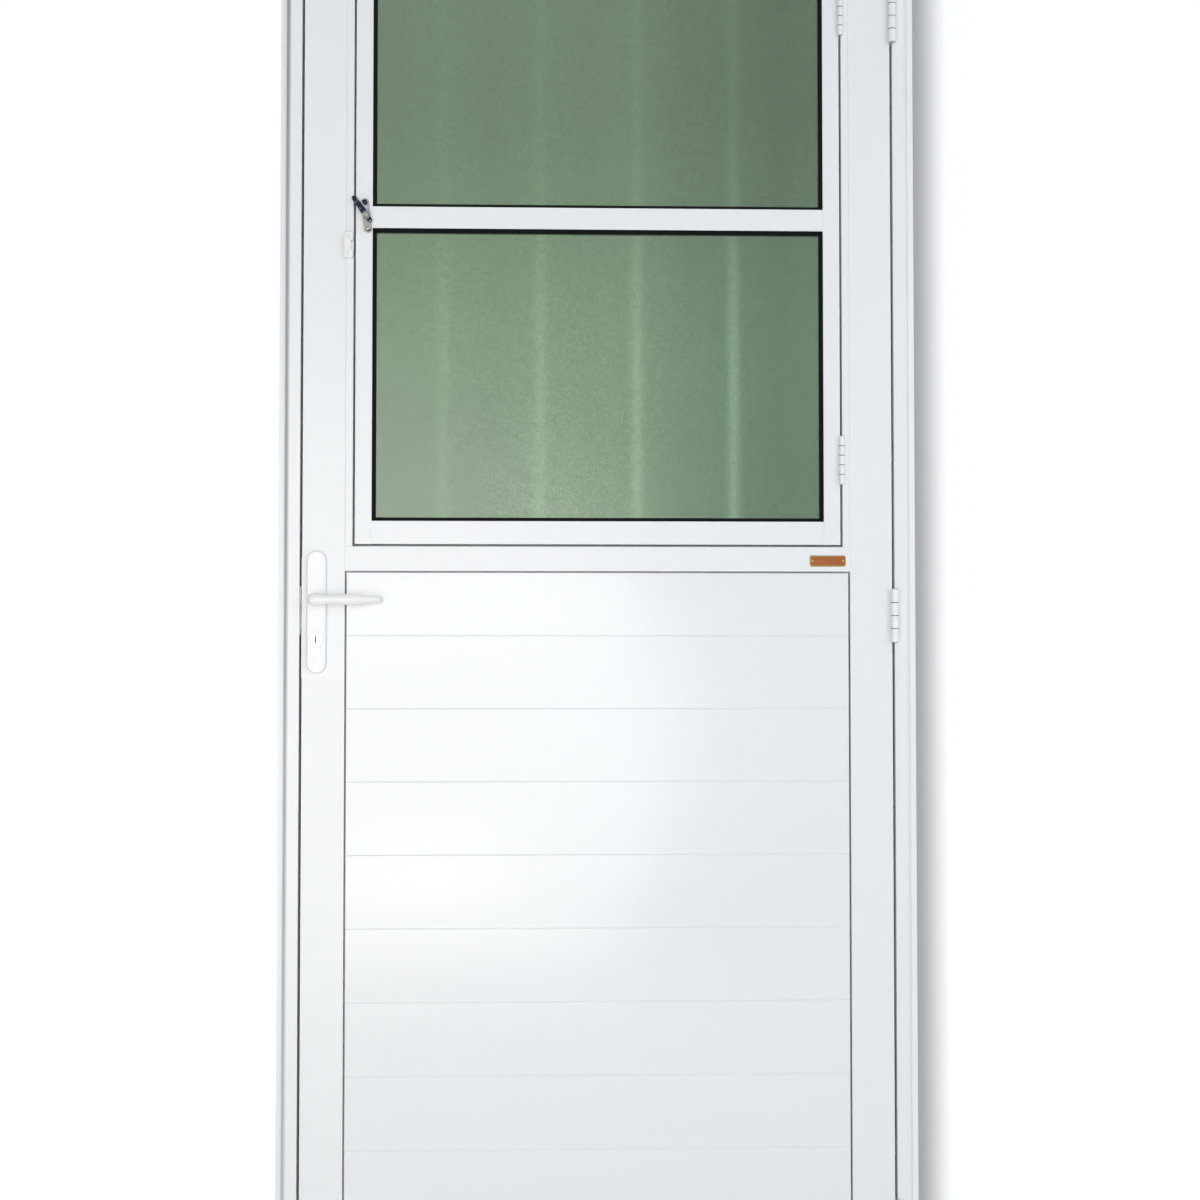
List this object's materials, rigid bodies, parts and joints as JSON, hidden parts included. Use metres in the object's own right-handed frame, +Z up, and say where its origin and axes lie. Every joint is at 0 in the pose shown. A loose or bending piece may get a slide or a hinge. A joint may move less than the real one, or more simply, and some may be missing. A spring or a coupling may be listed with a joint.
{
  "type": "aluminium panel door",
  "caption": "White aluminium panel door in its frame: laid boards below, an opening glazed sash with green obscure glass above, lever handles, lock and butt hinges.",
  "frame": {"origin": "on the floor, midway along the frame's width and midway through its depth", "axes": "+X to the hinge side seen from the front, -Y out of the front, +Z up"},
  "size_m": [0.88, 0.1044, 2.1],
  "materials": {
    "white_paint": "satin white powder coat",
    "bare_aluminium": "mill finish, brushed along",
    "black_rubber": "matt",
    "green_glass": "green obscure glass with a fine grain",
    "bright_steel": "zinc plated",
    "fastener_chrome": "polished",
    "cylinder_brass": "satin"
  },
  "bodies": {
    "frame": {"jamb_left": "white_paint", "jamb_right": "white_paint", "frame_head": "white_paint", "threshold": "bare_aluminium", "frame_seal": "black_rubber", "strike_plate": "bright_steel", "frame_screws": "bright_steel", "door_hinge_frame_lower": "white_paint", "door_hinge_frame_middle": "white_paint", "door_hinge_frame_upper": "white_paint", "door_hinge_pins": "bright_steel"},
    "leaf": {"stile_left": "white_paint", "stile_right": "white_paint", "rail_top": "white_paint", "rail_middle": "white_paint", "rail_bottom": "white_paint", "board_01": "white_paint", "board_02": "white_paint", "board_03": "white_paint", "board_04": "white_paint", "board_05": "white_paint", "board_06": "white_paint", "board_07": "white_paint", "board_08": "white_paint", "board_09": "white_paint", "board_10": "white_paint", "lining_left": "white_paint", "lining_right": "white_paint", "lock_case": "bright_steel", "lock_cylinder": "cylinder_brass", "plate_outside": "white_paint", "plate_inside": "white_paint", "plate_screws": "bright_steel", "leaf_screws": "bright_steel", "keeper": "white_paint", "door_hinge_leaf_lower": "white_paint", "door_hinge_leaf_middle": "white_paint", "door_hinge_leaf_upper": "white_paint", "sash_hinge_leaf_lower": "white_paint", "sash_hinge_leaf_upper": "white_paint", "sash_hinge_pins": "bright_steel"},
    "sash": {"sash_stile_left": "white_paint", "sash_stile_right": "white_paint", "sash_rail_top": "white_paint", "sash_rail_bottom": "white_paint", "glazing_bar": "white_paint", "glass_upper": "green_glass", "glass_lower": "green_glass", "gasket_upper": "black_rubber", "gasket_lower": "black_rubber", "sash_hinge_sash_lower": "white_paint", "sash_hinge_sash_upper": "white_paint", "fastener_base": "fastener_chrome"},
    "fastener": {"fastener_lever": "fastener_chrome"},
    "handle": {"lever_outside": "white_paint", "lever_inside": "white_paint", "spindle": "bright_steel"},
    "latch": {"latch_bolt": "bright_steel"},
    "deadbolt": {"deadbolt": "bright_steel"},
    "plug": {"cylinder_plug": "cylinder_brass"}
  },
  "joints": [
    {"name": "leaf_swing", "type": "hinge", "parent": "frame", "child": "leaf", "pos_m": [0.409, -0.0312, 0], "axis": [0, 0, 1], "range_deg": [0, 110]},
    {"name": "sash_swing", "type": "hinge", "parent": "leaf", "child": "sash", "pos_m": [0.3365, -0.0294, 0], "axis": [0, 0, 1], "range_deg": [0, 90]},
    {"name": "fastener_turn", "type": "hinge", "parent": "sash", "child": "fastener", "pos_m": [-0.3205, -0.029, 1.5915], "axis": [0, -1, 0], "range_deg": [0, 110]},
    {"name": "handle_turn", "type": "hinge", "parent": "leaf", "child": "handle", "pos_m": [-0.386, -0.007, 1.061], "axis": [0, 1, 0], "range_deg": [0, 40], "stiffness_Nm_per_rad": 1, "springref_deg": -28.65},
    {"name": "latch_slide", "type": "slide", "parent": "leaf", "child": "latch", "axis": [-1, 0, 0], "range_m": [0, 0.01]},
    {"name": "cylinder_turn", "type": "hinge", "parent": "leaf", "child": "plug", "pos_m": [-0.386, -0.007, 1.0073], "axis": [0, 1, 0], "range_deg": [0, 360]},
    {"name": "deadbolt_slide", "type": "slide", "parent": "leaf", "child": "deadbolt", "axis": [-1, 0, 0], "range_m": [0, 0.012]}
  ],
  "couplings": [
    {"joint": "deadbolt_slide", "follows": "cylinder_turn", "m_per_rad": 0.0019099}
  ]
}
